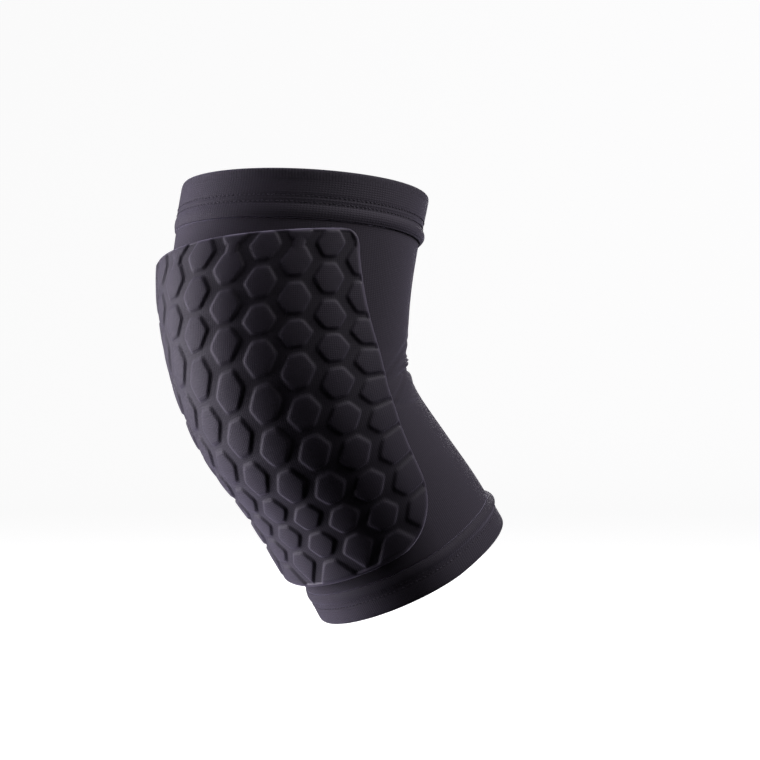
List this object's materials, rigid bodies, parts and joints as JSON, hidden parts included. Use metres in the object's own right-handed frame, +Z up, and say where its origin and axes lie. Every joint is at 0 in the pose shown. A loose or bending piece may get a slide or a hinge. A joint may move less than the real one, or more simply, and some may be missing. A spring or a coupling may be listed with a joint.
{
  "type": "volleyball knee pad",
  "caption": "Pull-on knit knee sleeve, bent as worn, with turned cuffs and a raised honeycomb foam pad wrapped over the front of the knee.",
  "frame": {"origin": "middle of the knee inside the sleeve, where the leg that wears it bends", "axes": "+Z up along the thigh, -Y forward over the kneecap, +X to the outer side of the leg"},
  "size_m": [0.1361, 0.2194, 0.2479],
  "materials": {
    "knit": "fine black compression knit with a soft sheen",
    "cuff": "denser double-layer black knit, cover-stitched",
    "pad": "black knit laminated over moulded foam cells"
  },
  "bodies": {
    "root": {"sleeve": "knit", "top_cuff": "cuff", "bottom_cuff": "cuff", "hex_pad": "pad"}
  },
  "joints": []
}
